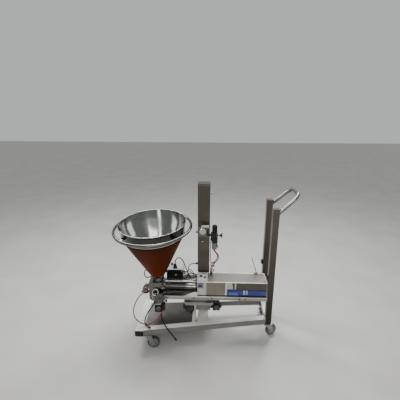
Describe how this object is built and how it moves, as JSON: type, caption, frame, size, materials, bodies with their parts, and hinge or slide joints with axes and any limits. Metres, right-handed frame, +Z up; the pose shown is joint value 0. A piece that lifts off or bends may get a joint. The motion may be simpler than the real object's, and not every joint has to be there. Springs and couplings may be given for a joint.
{
  "type": "food depositor",
  "caption": "Pneumatic piston depositor with a heated cone hopper on a height-adjustable column, carried by a wheeled stainless cart with a push handle.",
  "frame": {"origin": "on the floor, under the centre of the object's bounding box, its free cords left out", "axes": "+X from the hopper to the push handle, +Y from the head's side to the control box's side, +Z up"},
  "size_m": [1.1672, 0.5606, 1.065],
  "materials": {
    "aluminium": "anodised aluminium",
    "black_hose": "black hose",
    "black_plastic": "black moulded plastic",
    "box_grey": "light grey paint",
    "brass": "brass",
    "cast_fittings": "satin machined steel",
    "caster_rubber": "grey rubber wheel",
    "caster_zinc": "bright zinc plate",
    "clear_bowl": "smoky plastic bowl",
    "grey_cast": "grey-green casting",
    "heater_silicone": "brick-red silicone sheet",
    "polished_steel": "bright polished stainless steel",
    "red_tube": "red polyurethane tube",
    "stainless": "brushed stainless steel"
  },
  "bodies": {
    "cart": {"front_rail": "stainless", "side_rails": "stainless", "cross_rails": "stainless", "deck_panel": "stainless", "handle_posts": "stainless", "tube_caps": "black_plastic", "push_handle": "polished_steel", "caster_plates": "caster_zinc", "inner_column": "stainless", "gas_strut_tube": "cast_fittings"},
    "head": {"column_sleeve": "stainless", "gas_strut_rod": "cast_fittings", "clamp_collar": "black_plastic", "support_bracket": "aluminium", "support_tray": "stainless", "body_housing": "stainless", "housing_end_cover": "stainless", "air_cylinder": "aluminium", "product_cylinder": "polished_steel", "cylinder_end_plates": "cast_fittings", "tie_rods": "polished_steel", "valve_body": "cast_fittings", "valve_actuator": "black_plastic", "outlet_elbow": "cast_fittings", "pipe_clamps": "cast_fittings", "valve_foot": "grey_cast", "pilot_block": "black_plastic", "push_in_fittings": "black_plastic", "air_valve": "cast_fittings", "hopper_shell": "polished_steel", "heater_jacket": "heater_silicone", "ring_handle": "polished_steel", "air_service_block": "cast_fittings", "air_regulator": "black_plastic", "filter_bowl": "clear_bowl", "control_box": "box_grey", "control_box_lid": "black_plastic", "cable_glands": "black_plastic", "sensor_rod": "brass", "hose_fittings": "black_plastic", "red_air_loop": "red_tube", "drain_hose": "black_hose", "air_hose": "black_hose", "regulator_hose": "red_tube", "control_cable": "black_hose", "heater_cable": "black_hose"},
    "piston": {"piston_rod": "cast_fittings", "product_piston": "cast_fittings"},
    "spool": {"valve_spool": "cast_fittings"},
    "lock_knob": {"lock_knob": "black_plastic"},
    "regulator_knob": {"regulator_knob": "black_plastic"},
    "shutoff_handle": {"shutoff_handle": "caster_zinc"},
    "caster_near_front": {"caster_fork_near_front": "caster_zinc"},
    "wheel_near_front": {"caster_wheel_near_front": "caster_rubber"},
    "caster_far_front": {"caster_fork_far_front": "caster_zinc"},
    "wheel_far_front": {"caster_wheel_far_front": "caster_rubber"},
    "caster_near_rear": {"caster_fork_near_rear": "caster_zinc"},
    "wheel_near_rear": {"caster_wheel_near_rear": "caster_rubber"},
    "caster_far_rear": {"caster_fork_far_rear": "caster_zinc"},
    "wheel_far_rear": {"caster_wheel_far_rear": "caster_rubber"}
  },
  "joints": [
    {"name": "head_lift", "type": "slide", "parent": "cart", "child": "head", "axis": [0, 0, 1], "range_m": [0, 0.45]},
    {"name": "lock_turn", "type": "hinge", "parent": "head", "child": "lock_knob", "pos_m": [0.0766, 0.05432, 0.208], "axis": [0, -1, 0], "range_deg": [0, 360]},
    {"name": "piston_stroke", "type": "slide", "parent": "head", "child": "piston", "axis": [1, 0, 0], "range_m": [0, 0.16]},
    {"name": "spool_turn", "type": "hinge", "parent": "head", "child": "spool", "pos_m": [-0.3304, -0.00068, 0.372], "axis": [0, 1, 0], "range_deg": [0, 90]},
    {"name": "regulator_turn", "type": "hinge", "parent": "head", "child": "regulator_knob", "pos_m": [0.0566, 0.04432, 0.74], "axis": [0, 0, 1], "range_deg": [-360, 360]},
    {"name": "shutoff_turn", "type": "hinge", "parent": "head", "child": "shutoff_handle", "pos_m": [0.0846, 0.04432, 0.728], "axis": [1, 0, 0], "range_deg": [0, 90]},
    {"name": "swivel_near_front", "type": "hinge", "parent": "cart", "child": "caster_near_front", "pos_m": [-0.3674, -0.14212, 0.095], "axis": [0, 0, 1], "continuous": true},
    {"name": "roll_near_front", "type": "hinge", "parent": "caster_near_front", "child": "wheel_near_front", "pos_m": [-0.3374, -0.14212, 0.04], "axis": [0, 1, 0], "continuous": true},
    {"name": "swivel_far_front", "type": "hinge", "parent": "cart", "child": "caster_far_front", "pos_m": [-0.4234, 0.13532, 0.095], "axis": [0, 0, 1], "continuous": true},
    {"name": "roll_far_front", "type": "hinge", "parent": "caster_far_front", "child": "wheel_far_front", "pos_m": [-0.39442, 0.14308, 0.04], "axis": [-0.2588, 0.9659, 0], "continuous": true},
    {"name": "swivel_near_rear", "type": "hinge", "parent": "cart", "child": "caster_near_rear", "pos_m": [0.4326, -0.00168, 0.095], "axis": [0, 0, 1], "continuous": true},
    {"name": "roll_near_rear", "type": "hinge", "parent": "caster_near_rear", "child": "wheel_near_rear", "pos_m": [0.45979, 0.011, 0.04], "axis": [-0.4226, 0.9063, 0], "continuous": true},
    {"name": "swivel_far_rear", "type": "hinge", "parent": "cart", "child": "caster_far_rear", "pos_m": [0.4326, 0.21032, 0.095], "axis": [0, 0, 1], "continuous": true},
    {"name": "roll_far_rear", "type": "hinge", "parent": "caster_far_rear", "child": "wheel_far_rear", "pos_m": [0.4326, 0.24032, 0.04], "axis": [-1, 0, 0], "continuous": true}
  ]
}
